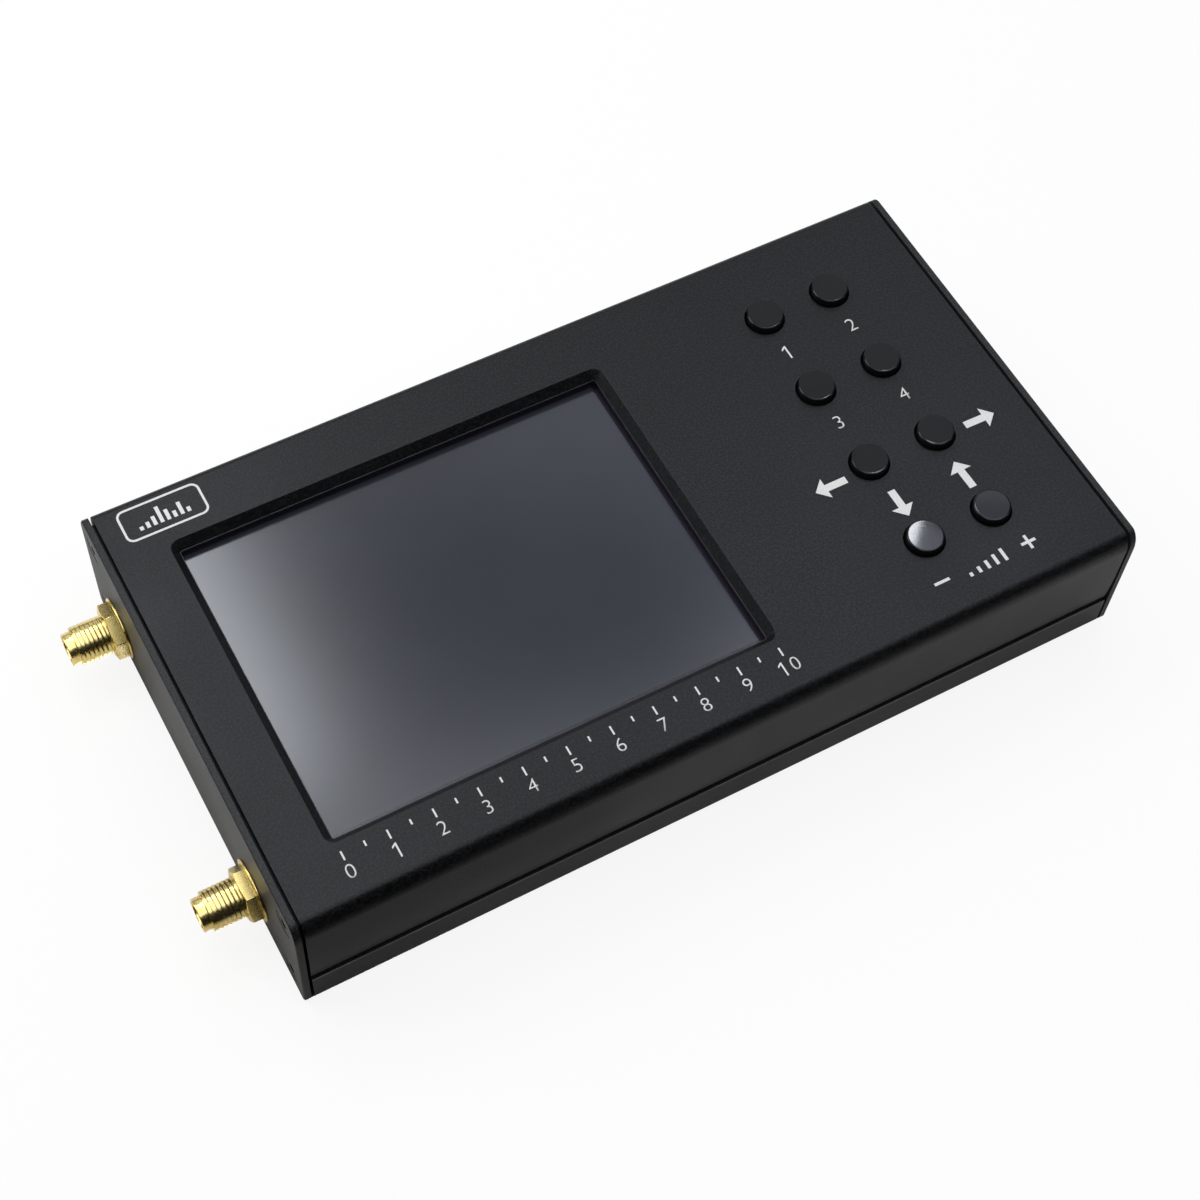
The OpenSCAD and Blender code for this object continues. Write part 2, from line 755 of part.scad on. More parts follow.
module rf_board() {
    color("#1d4f6b") difference() {
        slab((rf_x0 + rf_x1) / 2, 0, rf_x1 - rf_x0, 2 * rf_half_w, rf_bottom, rf_top);
        for (x = board_screw_x, s = [-1, 1])
            translate([x, s * rib_y, rf_bottom - 1]) cylinder(r = board_screw_r + seat_gap, h = board_t + 2);
    }
}

module rf_board_screws() {
    color("#c4c6c9") for (x = board_screw_x, s = [-1, 1]) translate([x, s * rib_y, rf_top]) {
        cylinder(r = board_screw_head_r, h = board_screw_head_h);
        translate([0, 0, -board_screw_len]) cylinder(r = board_screw_r, h = board_screw_len + e);
    }
}

module shield_frame() {
    inner = [shield_l - 2 * sheet_t, shield_w - 2 * sheet_t];
    color("#b9bcc0") translate([shield_x + shield_l / 2, 0, rf_top]) linear_extrude(shield_h) {
        difference() {
            square([shield_l, shield_w], center = true);
            square(inner, center = true);
        }
        square([sheet_t, shield_w - sheet_t], center = true);
    }
}

module shield_lid() {
    grown = seat_gap / 2 + sheet_t;
    z1 = rf_top + shield_h;
    z0 = z1 - shield_skirt;
    color("#c9ccd0") difference() {
        slab(shield_x + shield_l / 2, 0, shield_l + 2 * grown, shield_w + 2 * grown, z0, z1 + sheet_t);
        slab(shield_x + shield_l / 2, 0, shield_l + seat_gap, shield_w + seat_gap, z0 - 1, z1);
    }
}

module rf_chips() {
    color("#202022") for (i = [-1, 1], j = [-1.5:1:1.5])
        slab(shield_x + shield_l / 2 + i * shield_l / 4, j * rf_chip_pitch, rf_chip_w, rf_chip_w,
            rf_top, rf_top + rf_chip_h);
}

module logic_chips() {
    color("#202022") for (s = [-1, 1])
        slab(logic_chip_x, s * logic_chip_w, logic_chip_w, logic_chip_w, rf_top, rf_top + logic_chip_h);
}

module board_header() {
    color("#161616") slab(header_x, 0, header_w, header_l, rf_top, front_bottom);
}

module battery_pad() {
    color("#dcd8c8") slab(cell_x, 0, cell_l - 2 * pad_in, cell_w - 2 * pad_in, floor_t, cell_z);
}

module battery() {
    color("#8f979f") slab(cell_x, 0, cell_l, cell_w, cell_z, cell_z + cell_t);
}

module battery_leads() {
    x0 = cell_x + cell_l / 2;
    color("#b01f1f") for (s = [-1, 1])
        translate([x0, s * lead_pitch / 2, lead_z]) rotate([0, 90, 0]) cylinder(r = lead_r, h = plug_x - x0);
}

module battery_plug() {
    color("#efe9da") slab(plug_x + plug_l / 2, 0, plug_l, plug_w, rf_bottom - plug_h, rf_bottom);
}

module usb_shell() {
    color("#c3c6ca") difference() {
        bar_x(usb_x1 - usb_d, usb_x1) translate([usb_y, usb_z]) round_rect(usb_w, usb_h, usb_h / 2 - e);
        bar_x(usb_x1 - usb_d + usb_back_t, usb_x1 + 1) translate([usb_y, usb_z])
            round_rect(usb_w - 2 * usb_wall, usb_h - 2 * usb_wall, usb_h / 2 - usb_wall - e);
    }
}

module usb_tongue() {
    color("#1b1b1c") translate([usb_x1 - usb_d + usb_back_t, usb_y - tongue_w_usb / 2,
        usb_z - tongue_t_usb / 2]) cube([usb_d - usb_back_t - tongue_set_back, tongue_w_usb, tongue_t_usb]);
}

module power_switch_body() {
    color("#b6b9bd") difference() {
        translate([slide_x1 - slide_body_d, slide_y - slide_body_w / 2, rf_top])
            cube([slide_body_d, slide_body_w, slide_body_h]);
        translate([slide_x1 - slider_depth - run_gap, slide_y - slider_room / 2, slide_z - slider_h / 2 - run_gap])
            cube([slide_body_d, slider_room, slider_h + 2 * run_gap]);
    }
}

// Slider at the off end of its travel
module power_switch_slider() {
    color("#111112") translate([slide_x1 - slider_depth, slide_y - slider_travel / 2 - slider_w / 2,
        slide_z - slider_h / 2])
        cube([slider_depth + run_gap + plate_t + slider_proud, slider_w, slider_h]);
}

module status_led() {
    color("#d8e6d4") translate([half_len - seat_gap - led_back, led_y, led_z]) rotate([0, 90, 0]) {
        cylinder(r = led_flange_r, h = led_flange_t);
        cylinder(r = led_r, h = led_back + plate_t);
    }
}

// Builds one jack piece of each name
module jack_piece(piece, y, turn) {
    if (piece == "body") jack_body(y);
    if (piece == "insulator") jack_insulator(y);
    if (piece == "contact") jack_contact(y);
    if (piece == "nut") jack_nut(y, turn);
    if (piece == "washer") jack_washer(y);
}

upper_shell();
lower_shell();
left_plate();
right_plate();
left_plate_screws();
right_plate_screws();
display_gasket();
touch_panel();
lcd_panel();
backlight();
display_frame();
display_ribbon();
ribbon_socket();
front_board();
key_switches();
for (i = [1:8]) {
    key_cap(i);
    key_plunger(i);
}
for (p = ["body", "insulator", "contact", "nut", "washer"]) {
    jack_piece(p, jack_front_y, nut_turn_front);
    jack_piece(p, jack_rear_y, nut_turn_rear);
}
rf_board();
rf_board_screws();
shield_frame();
shield_lid();
rf_chips();
logic_chips();
board_header();
battery_pad();
battery();
battery_leads();
battery_plug();
usb_shell();
usb_tongue();
power_switch_body();
power_switch_slider();
status_led();
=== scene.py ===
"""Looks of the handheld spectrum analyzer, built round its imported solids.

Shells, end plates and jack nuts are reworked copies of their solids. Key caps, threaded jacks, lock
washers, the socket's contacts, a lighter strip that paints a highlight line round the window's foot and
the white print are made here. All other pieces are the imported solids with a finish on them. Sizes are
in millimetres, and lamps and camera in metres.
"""

import json
import math

import bmesh
import bpy
from mathutils import Matrix, Vector


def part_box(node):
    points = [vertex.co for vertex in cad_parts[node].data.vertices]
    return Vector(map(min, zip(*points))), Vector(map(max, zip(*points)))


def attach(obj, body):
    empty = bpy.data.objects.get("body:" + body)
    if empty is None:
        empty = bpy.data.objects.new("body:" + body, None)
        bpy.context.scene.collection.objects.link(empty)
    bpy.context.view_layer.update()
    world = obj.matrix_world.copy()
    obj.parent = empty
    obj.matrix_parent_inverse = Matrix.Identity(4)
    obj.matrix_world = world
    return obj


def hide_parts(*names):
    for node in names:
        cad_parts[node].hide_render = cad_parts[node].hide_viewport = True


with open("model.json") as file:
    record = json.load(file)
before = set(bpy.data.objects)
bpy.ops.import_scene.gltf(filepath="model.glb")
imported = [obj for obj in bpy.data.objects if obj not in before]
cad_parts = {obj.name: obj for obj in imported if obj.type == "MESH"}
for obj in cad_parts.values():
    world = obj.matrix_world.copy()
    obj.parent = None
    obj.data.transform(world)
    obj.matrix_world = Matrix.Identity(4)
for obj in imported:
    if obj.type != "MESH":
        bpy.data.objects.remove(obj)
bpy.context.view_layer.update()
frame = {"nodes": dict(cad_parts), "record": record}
scene = bpy.context.scene
nodes = frame["nodes"]
MM = 0.001
FULL_TURN = 2 * math.pi
TO_METRES = Matrix.Scale(MM, 4)
FACING_LEFT = Matrix.Rotation(-FULL_TURN / 4, 4, "Y") @ TO_METRES


# Finishes

# Noise keeps near its middle: most of it lies between these two
NOISE_LOW = 0.3
NOISE_HIGH = 0.7
# Middle and size of the display's clear area, and the width of the soft line round it
ACTIVE_X = -24.75
ACTIVE_Y = 0.13
ACTIVE_L = 70.5
ACTIVE_W = 52.6
ACTIVE_LINE = 0.12


class Finish:
    """A node material whose patterns sit on the piece's own coordinates."""

    def __init__(self, name, sockets):
        self.material = bpy.data.materials.new(name)
        self.material.use_nodes = True
        self.tree = self.material.node_tree
        self.shader = self.tree.nodes["Principled BSDF"]
        for socket, value in sockets.items():
            self.feed(self.shader, socket, value)
        self.place = self.node("TexCoord").outputs["Object"]

    def node(self, kind, sockets=None, **settings):
        """Adds a shader node with its settings and inputs."""
        made = self.tree.nodes.new("ShaderNode" + kind)
        for name, value in settings.items():
            setattr(made, name, value)
        for socket, value in (sockets or {}).items():
            self.feed(made, socket, value)
        return made

    def feed(self, node, socket, value):
        """Sets an input to a value, or links it to another node's output."""
        if isinstance(value, bpy.types.NodeSocket):
            self.tree.links.new(value, node.inputs[socket])
        else:
            node.inputs[socket].default_value = value

    def spots(self, size, detail=2.0, stretch=(1, 1, 1)):
        """Noise with spots of about that size."""
        scale = [s / (size * MM) for s in stretch]
        spread = self.node("Mapping", {"Vector": self.place, "Scale": scale})
        return self.node("TexNoise", {"Vector": spread.outputs[0], "Scale": 1.0,
                                      "Detail": detail}).outputs["Fac"]

    def ease(self, value, low, high, new_low=0.0, new_high=1.0):
        """Maps the stretch from low to high onto another, smoothly."""
        return self.node("MapRange", {"Value": value, "From Min": low, "From Max": high,
                                      "To Min": new_low, "To Max": new_high},
                         interpolation_type="SMOOTHSTEP").outputs["Result"]

    def spread(self, noise, low=0.0, high=1.0):
        """Spreads noise over a whole stretch."""
        return self.ease(noise, NOISE_LOW, NOISE_HIGH, low, high)

    def math(self, operation, first, second):
        """One sum on two values."""
        return self.node("Math", {0: first, 1: second}, operation=operation).outputs[0]

    def mix(self, share, first, second):
        """Colour between two, by a share from 0 to 1."""
        return self.node("Mix", {0: share, 6: first, 7: second}, data_type="RGBA").outputs[2]

    def bump(self, height, depth, strength):
        """Raises the surface with a height, by up to a depth."""
        raised = self.node("Bump", {"Height": height, "Strength": strength, "Distance": depth * MM})
        self.feed(self.shader, "Normal", raised.outputs[0])

    def colour(self, value):
        """Links the colour of the surface."""
        self.feed(self.shader, "Base Color", value)

    def rough(self, value):
        """Links the roughness of the surface."""
        self.feed(self.shader, "Roughness", value)


def rgb(red, green, blue):
    """Colour with full cover."""
    return (red, green, blue, 1.0)


def anodised(name, dark, light, rough, shine):
    """Fine blasted and dyed aluminium: a dark even skin with a fine bright grain."""
    finish = Finish(name, {"Specular IOR Level": shine})
    grain = finish.spots(0.34, detail=3.0)
    cloud = finish.spots(24)
    finish.colour(finish.mix(finish.ease(grain, low=0.4, high=0.7), dark, light))
    finish.rough(finish.spread(cloud, *rough))
    finish.bump(grain, depth=0.05, strength=0.6)
    return finish.material


def moulded(name, dark, light, rough, grain_size=0.3, depth=0.004, shine=0.5):
    """Moulded plastic with a faint skin."""
    finish = Finish(name, {"Specular IOR Level": shine})
    grain = finish.spots(grain_size)
    cloud = finish.spots(6)
    finish.colour(finish.mix(finish.spread(cloud), dark, light))
    finish.rough(finish.spread(grain, *rough))
    finish.bump(grain, depth=depth, strength=0.4)
    return finish.material


def plated(name, dark, light, rough, brushed=(1, 1, 1)):
    """Plated metal with faint tool marks."""
    finish = Finish(name, {"Metallic": 1.0})
    marks = finish.spots(0.4, detail=3.0, stretch=brushed)
    cloud = finish.spots(3)
    finish.colour(finish.mix(finish.spread(cloud), dark, light))
    finish.rough(finish.spread(marks, *rough))
    finish.bump(marks, depth=0.002, strength=0.3)
    return finish.material


def printed_white():
    """White ink, a little uneven."""
    finish = Finish("printed_white", {"Specular IOR Level": 0.4})
    speck = finish.spots(0.18, detail=3.0)
    cover = finish.ease(speck, low=0.3, high=0.6)
    finish.colour(finish.mix(cover, rgb(0.6, 0.575, 0.54), rgb(0.74, 0.715, 0.68)))
    finish.rough(finish.spread(speck, 0.5, 0.65))
    finish.bump(speck, depth=0.006, strength=0.3)
    return finish.material


def touch_glass():
    """Touch panel with an anti-glare film over a dark display, and its darker rim."""
    finish = Finish("touch_glass", {"Specular IOR Level": 0.72})
    apart = finish.node("SeparateXYZ", {"Vector": finish.place})
    sides = []
    for axis, middle, length in ((0, ACTIVE_X, ACTIVE_L), (1, ACTIVE_Y, ACTIVE_W)):
        away = finish.math("SUBTRACT", apart.outputs[axis], middle * MM)
        away = finish.math("ABSOLUTE", away, 0.0)
        sides.append(finish.ease(away, length / 2 * MM, (length / 2 + ACTIVE_LINE) * MM))
    rim = finish.math("MAXIMUM", sides[0], sides[1])
    cloud = finish.spread(finish.spots(30))
    display = finish.mix(cloud, rgb(0.02237, 0.02434, 0.03158), rgb(0.02763, 0.02961, 0.03816))
    finish.colour(finish.mix(rim, display, rgb(0.01579, 0.01184, 0.02105)))
    film = finish.spots(0.12)
    finish.rough(finish.spread(film, 0.15, 0.2))
    finish.bump(film, depth=0.003, strength=0.25)
    return finish.material


def circuit_board():
    """Solder mask with the tracks under it showing as paler lines."""
    finish = Finish("circuit_board", {"Specular IOR Level": 0.5})
    cells = finish.node("TexVoronoi", {"Vector": finish.place, "Scale": 260.0},
                        feature="DISTANCE_TO_EDGE", distance="MANHATTAN").outputs["Distance"]
    track = finish.ease(cells, low=0.05, high=0.09, new_low=1.0, new_high=0.0)
    finish.colour(finish.mix(track, rgb(0.012, 0.07, 0.03), rgb(0.03, 0.15, 0.06)))
    finish.rough(finish.spread(finish.spots(0.5), 0.28, 0.4))
    finish.bump(track, depth=0.03, strength=0.6)
    return finish.material


def lamp_lens():
    """Milky clear lens of the charge lamp."""
    finish = Finish("lamp_lens", {"Transmission Weight": 0.5, "IOR": 1.5})
    cloud = finish.spots(1.0)
    finish.colour(finish.mix(cloud, rgb(0.7, 0.78, 0.68), rgb(0.85, 0.9, 0.84)))
    finish.rough(finish.spread(cloud, 0.25, 0.4))
    return finish.material


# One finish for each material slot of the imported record
finishes = {
    "case_black": anodised("anodised_black", rgb(0.001579, 0.001579, 0.001711),
                           rgb(0.01316, 0.01316, 0.01447), rough=(0.38, 0.44), shine=0.24),
    "screw_black": plated("black_oxide", rgb(0.01053, 0.01053, 0.01053),
                          rgb(0.02632, 0.02632, 0.02632), rough=(0.4, 0.55)),
    "gasket_black": moulded("gasket_foam", rgb(0.004, 0.004, 0.004), rgb(0.008, 0.008, 0.008),
                            rough=(0.75, 0.9), grain_size=0.15, depth=0.03),
    "panel_glass": touch_glass(),
    "panel_dark": moulded("display_film", rgb(0.03, 0.032, 0.04), rgb(0.045, 0.05, 0.06), rough=(0.1, 0.2)),
    "backlight_white": moulded("light_guide", rgb(0.75, 0.75, 0.72), rgb(0.86, 0.86, 0.83),
                               rough=(0.4, 0.55)),
    "tin_plate": plated("tin_plate", rgb(0.55, 0.56, 0.58), rgb(0.68, 0.69, 0.71), rough=(0.22, 0.36),
                        brushed=(1, 6, 6)),
    "ribbon_amber": moulded("ribbon_film", rgb(0.4, 0.2, 0.03), rgb(0.55, 0.3, 0.06), rough=(0.25, 0.35)),
    "connector_cream": moulded("moulded_cream", rgb(0.66, 0.62, 0.5), rgb(0.78, 0.74, 0.63),
                               rough=(0.45, 0.6)),
    "board_green": circuit_board(),
    "switch_black": moulded("moulded_black", rgb(0.011, 0.011, 0.012), rgb(0.02, 0.02, 0.021),
                            rough=(0.42, 0.55)),
    "key_black": moulded("key_gloss", rgb(0.005263, 0.005263, 0.005921), rgb(0.007895, 0.007895, 0.008553),
                         rough=(0.03, 0.045), grain_size=0.16, depth=0.0012, shine=0.263),
    "plunger_white": moulded("plunger_white", rgb(0.66, 0.63, 0.55), rgb(0.76, 0.73, 0.65),
                             rough=(0.4, 0.5)),
    "gold": plated("gold_plate", rgb(0.7632, 0.5855, 0.2039), rgb(0.8947, 0.7105, 0.2895),
                   rough=(0.2, 0.28)),
    "dielectric_white": moulded("dielectric_white", rgb(0.76, 0.75, 0.71), rgb(0.86, 0.85, 0.82),
                                rough=(0.35, 0.5)),
    "screw_steel": plated("zinc_plate", rgb(0.5, 0.51, 0.54), rgb(0.64, 0.65, 0.67), rough=(0.25, 0.4)),
    "foam_grey": moulded("foam_tape", rgb(0.5, 0.48, 0.42), rgb(0.62, 0.6, 0.54), rough=(0.8, 0.95),
                         grain_size=0.2, depth=0.03),
    "cell_foil": plated("cell_foil", rgb(0.4, 0.42, 0.45), rgb(0.54, 0.56, 0.58), rough=(0.3, 0.45),
                        brushed=(1, 4, 4)),
    "lead_red": moulded("lead_red", rgb(0.35, 0.012, 0.012), rgb(0.45, 0.02, 0.02), rough=(0.35, 0.5)),
    "lamp_clear": lamp_lens(),
}
case_black = finishes["case_black"]
# Dark foam laid on the plates' own faces inside the seam: painted shade in the gap
seam_shade_foam = finishes["gasket_black"]
gold = finishes["gold"]
print_white = printed_white()
plate_black = anodised("plate_black", rgb(0.005263, 0.005263, 0.005263), rgb(0.02368, 0.02368, 0.02368),
                       rough=(0.45, 0.51), shine=0.29)
# Paler finish for the lower shell's lip: a painted highlight line under the groove
painted_lip_highlight = moulded("painted_lip_highlight", rgb(0.07237, 0.07237, 0.075), rgb(0.1118, 0.1118, 0.1145),
                    rough=(0.5, 0.6))
# Lighter plated strip round the window's foot: a painted highlight line
painted_window_highlight = plated("painted_window_highlight", rgb(0.02895, 0.02895, 0.03026), rgb(0.04474, 0.04474, 0.04605),
                   rough=(0.4, 0.55))


# Making pieces

# Corners closer than this are one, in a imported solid
SOLID_WELD = 0.002
# Faces that meet at less than this are one flat face, and edges past the second are sharp
FLAT_ANGLE = math.radians(0.5)
SHARP_ANGLE = math.radians(32)


def dress(node, material):
    """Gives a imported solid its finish."""
    mesh = nodes[node].data
    mesh.materials.clear()
    mesh.materials.append(material)


def soften(solid, width):
    """Breaks the sharp edges of a solid, as deburring does."""
    weld = solid.modifiers.new("weld", "WELD")
    weld.merge_threshold = SOLID_WELD * MM
    flat = solid.modifiers.new("flat", "DECIMATE")
    flat.decimate_type = "DISSOLVE"
    flat.angle_limit = FLAT_ANGLE
    edge = solid.modifiers.new("edge", "BEVEL")
    edge.width = width * MM
    edge.segments = 2
    edge.limit_method = "ANGLE"
    edge.angle_limit = SHARP_ANGLE
    edge.use_clamp_overlap = True
    even = solid.modifiers.new("even", "WEIGHTED_NORMAL")
    even.keep_sharp = False


def make_piece(name, bm, material, body="case", stands_for=(), smooth=True):
    """Turns a bmesh in metres into a piece that rides on a body."""
    mesh = bpy.data.meshes.new(name)
    bm.to_mesh(mesh)
    bm.free()
    mesh.materials.append(material)
    if smooth:
        mesh.shade_smooth()
        mesh.set_sharp_from_angle(angle=SHARP_ANGLE)
    piece = bpy.data.objects.new(name, mesh)
    scene.collection.objects.link(piece)
    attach(piece, body)
    if stands_for:
        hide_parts(*stands_for)
    return piece


def merged_copy(node):
    """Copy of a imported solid, with its loose triangles joined into whole faces."""
    bm = bmesh.new()
    bm.from_mesh(nodes[node].data)
    bmesh.ops.remove_doubles(bm, verts=bm.verts, dist=SOLID_WELD * MM)
    bmesh.ops.dissolve_limit(bm, angle_limit=FLAT_ANGLE, verts=bm.verts, edges=bm.edges)
    return bm


def everything(bm):
    """All corners, edges and faces."""
    return bm.verts[:] + bm.edges[:] + bm.faces[:]


def unique(parts):
    """The parts in their order, each once."""
    return list(dict.fromkeys(parts))


def close_up(bm):
    """Merges doubles and turns every face outwards."""
    bmesh.ops.remove_doubles(bm, verts=bm.verts, dist=1e-5)
    bmesh.ops.recalc_face_normals(bm, faces=bm.faces)


def move(bm, matrix):
    """Places a whole bmesh."""
    bmesh.ops.transform(bm, matrix=matrix, verts=bm.verts)


def outline(bm, points):
    """Wire through points of radius and height, in the XZ plane."""
    corners = [bm.verts.new((r, 0, z)) for r, z in points]
    for pair in zip(corners, corners[1:]):
        bm.edges.new(pair)
    return corners


def spin_wire(bm, geom, steps, angle=FULL_TURN, rise=0.0):
    """Spins wires round Z, with a rise at each step for a thread."""
    bmesh.ops.spin(bm, geom=geom, cent=(0, 0, 0), axis=(0, 0, 1), dvec=(0, 0, rise), angle=angle,
                   steps=steps, use_merge=rise == 0.0)


def turned(bm, points, steps, rounded=(), radius=0.0, segments=1):
    """Turned shape beside what is there: a wire with some corners rounded, spun once round Z."""
    old = set(bm.edges)
    corners = outline(bm, points)
    if rounded:
        bmesh.ops.bevel(bm, geom=[corners[c] for c in rounded], offset=radius, segments=segments,
                        profile=0.5, affect="VERTICES", material=-1)
    wires = [e for e in bm.edges if e not in old]
    spin_wire(bm, unique(v for e in wires for v in e.verts) + wires, steps)


def boundary_at(bm, height):
    """Open edges that lie at a height."""
    return [e for e in bm.edges
            if e.is_boundary and all(abs(v.co.z - height) < 0.02 for v in e.verts)]


def flat_frame(bm, middle, size, corner, line):
    """Flat frame with rounded corners and a line of that width."""
    made = bmesh.ops.create_grid(bm, x_segments=1, y_segments=1, size=0.5)
    bmesh.ops.scale(bm, vec=(*size, 1), verts=bm.verts)
    bmesh.ops.translate(bm, vec=(*middle, 0), verts=bm.verts)
    bmesh.ops.bevel(bm, geom=made["verts"], offset=corner, segments=6, profile=0.5, affect="VERTICES",
                    material=-1)
    inner = bm.faces[:]
    bmesh.ops.inset_region(bm, faces=inner, thickness=line, use_even_offset=True, use_boundary=True)
    bmesh.ops.delete(bm, geom=inner, context="FACES_ONLY")


def thicken(bm, thickness, height):
    """Gives flat shapes a thickness upwards and lays them at a height."""
    bmesh.ops.recalc_face_normals(bm, faces=bm.faces)
    raised = bmesh.ops.extrude_face_region(bm, geom=bm.faces[:])
    tops = [v for v in raised["geom"] if isinstance(v, bmesh.types.BMVert)]
    bmesh.ops.translate(bm, vec=(0, 0, thickness), verts=tops)
    bmesh.ops.recalc_face_normals(bm, faces=bm.faces)
    move(bm, Matrix.Translation((0, 0, height * MM)) @ TO_METRES)


# Shells and end plates

HALF_W = 38.8
CASE_H = 24.8
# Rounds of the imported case: its long upper edges and the plates' lower corners
PACKED_R = 2.0
FOOT_R = 1.2
# The upper edges as they are shown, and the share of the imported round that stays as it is
EDGE_ACROSS = 2.0
EDGE_DOWN = 3.6
ROUND_CORE = 0.6
# Heights of the shells' lips on both sides of the groove, and the rounds on them
PARTING_TOP = 7.25
PARTING_FOOT = 6.75
UPPER_LIP_R = 0.4
LOWER_LIP_R = 0.14
LIP_STEPS = 6
# Where the upper shell's sides begin to draw in, how far they do, and the cuts that let them bend
DRAW_FROM = 18.5
DRAW_IN = 0.4
DRAW_CUTS = (17.0, 15.5, 14.0, 12.5, 11.0, 9.5, 8.4)
# A plate's face and the bevel of its rim, packed and shown
PLATE_FACE = 71.6
PACKED_BEVEL = 0.5
CRISP_BEVEL = 0.14
# The seam behind a plate, packed and shown, and what is left of it underneath
SEAM_X = 70.35
SEAM_DEPTH = 0.7
WIDE_SEAM_X = 70.5
DEEP_SEAM = 1.6
FOOT_SEAM = 0.03
SHELL_DEBURR = 0.12
PLATE_DEBURR = 0.05
# Places this close are the same place
NEAR = 0.01
# Second material of a shell or plate
EDGE_MATERIAL = 1


def widen_edge(point):
    """Moves a point of the case's long upper edges from their packed round onto a deeper one."""
    y = abs(point.y) / MM - (HALF_W - PACKED_R)
    z = point.z / MM - (CASE_H - PACKED_R)
    reach = math.hypot(y, z)
    if min(y, z) < -NEAR / 10 or reach < ROUND_CORE * PACKED_R:
        return
    inset = PACKED_R - reach
    y = HALF_W - EDGE_ACROSS + (EDGE_ACROSS - inset) * y / reach
    point.y = math.copysign(y * MM, point.y)
    point.z = (CASE_H - EDGE_DOWN + (EDGE_DOWN - inset) * z / reach) * MM


def draw_in(bm):
    """Draws the sides of the upper shell in a little towards the parting line, in a slow curve."""
    for height in DRAW_CUTS:
        bmesh.ops.bisect_plane(bm, geom=everything(bm), dist=1e-7, plane_co=(0, 0, height * MM),
                               plane_no=(0, 0, 1))
    for vert in bm.verts:
        share = (DRAW_FROM - vert.co.z / MM) / (DRAW_FROM - PARTING_TOP)
        if share > 0 and abs(abs(vert.co.y) / MM - HALF_W) < NEAR:
            vert.co.y -= math.copysign(DRAW_IN * share ** 3 * MM, vert.co.y)


def soft_lip(bm, height, radius):
    """Rounds the outer edge of a shell where it meets the other one."""
    outside = HALF_W - DRAW_IN - 2 * NEAR
    at_lip = {v for v in bm.verts if abs(v.co.z / MM - height) < NEAR and abs(v.co.y) / MM > outside}
    lips = [e for e in bm.edges if at_lip.issuperset(e.verts)]
    made = bmesh.ops.bevel(bm, geom=lips, offset=radius * MM, segments=LIP_STEPS, profile=0.5,
                           affect="EDGES", material=-1)
    # The round takes the shell's second finish; on the lower shell that finish paints a highlight line
    for face in made["faces"]:
        face.material_index = EDGE_MATERIAL


def upper_sides(bm):
    """Sides of the upper shell: drawn in, with a soft lip over the groove."""
    draw_in(bm)
    soft_lip(bm, PARTING_TOP, UPPER_LIP_R)


def lower_sides(bm):
    """Sides of the lower shell: a small round under the groove, in a pale finish that paints a highlight line.
    """
    soft_lip(bm, PARTING_FOOT, LOWER_LIP_R)


def crisp_rim(bm):
    """Sharpens a plate's outer edge, widens the seam behind it and closes the seam underneath."""
    for vert in bm.verts:
        x = abs(vert.co.x) / MM
        y = abs(vert.co.y) / MM
        z = vert.co.z / MM
        corner = PACKED_R if z > CASE_H / 2 else FOOT_R
        up = max(z - CASE_H + PACKED_R, 0) + min(z - FOOT_R, 0)
        out = Vector((0, max(y - HALF_W + corner, 0), up))
        inset = corner - out.length
        way = out.normalized() * MM
        way.y = math.copysign(way.y, vert.co.y)
        if x > PLATE_FACE - NEAR and abs(inset - PACKED_BEVEL) < 2 * NEAR:
            vert.co += way * (PACKED_BEVEL - CRISP_BEVEL)
        elif x < SEAM_X + NEAR and abs(inset - SEAM_DEPTH) < 2 * NEAR:
            vert.co += way * (SEAM_DEPTH - (FOOT_SEAM if z < FOOT_R else DEEP_SEAM))
        if abs(x - PLATE_FACE + PACKED_BEVEL) < NEAR and inset < 2 * NEAR:
            vert.co.x = math.copysign((PLATE_FACE - CRISP_BEVEL) * MM, vert.co.x)
        elif abs(x - SEAM_X) < NEAR:
            vert.co.x = math.copysign(WIDE_SEAM_X * MM, vert.co.x)
    # Faces inside the seam take the second finish, dark foam that paints the shade in the gap
    for face in bm.faces:
        if all(abs(v.co.x) / MM < WIDE_SEAM_X + NEAR for v in face.verts):
            face.material_index = EDGE_MATERIAL


def case_piece(node, name, material, edge_material, rework, deburr):
    """Shell or plate with its reworked edges and the deeper upper edges."""
    bm = merged_copy(node)
    rework(bm)
    for vert in bm.verts:
        widen_edge(vert.co)
    piece = make_piece(name, bm, material, stands_for=[node])
    piece.data.materials.append(edge_material)
    soften(piece, deburr)


# Keys

KEY_R = 3.0
KEY_ROLL = 0.28
KEY_FLAT_R = 2.64
KEY_STEPS = 72
COLLAR_R = 3.9
COLLAR_TOP = 22.3
COLLAR_T = 0.8


def key_piece(number):
    """Round flat key cap with a rolled edge and its hidden collar."""
    name = "key_%d" % number
    low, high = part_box(name)
    middle = (low + high) / 2
    top = high.z / MM
    foot = low.z / MM
    collar_foot = COLLAR_TOP - COLLAR_T
    bm = bmesh.new()
    turned(bm, [(0, top), (KEY_FLAT_R, top), (KEY_R, top), (KEY_R, COLLAR_TOP), (COLLAR_R, COLLAR_TOP),
                (COLLAR_R, collar_foot), (KEY_R, collar_foot), (KEY_R, foot), (0, foot)],
           KEY_STEPS, rounded=[2], radius=KEY_ROLL, segments=6)
    close_up(bm)
    move(bm, Matrix.Translation((middle.x, middle.y, 0)) @ TO_METRES)
    make_piece("cap_%d" % number, bm, finishes["key_black"], name, [name])


# Coaxial jacks

# Inside face of the left plate, from which the jacks' lengths count
INNER_FACE = 70.0
BARREL_STEPS = 48
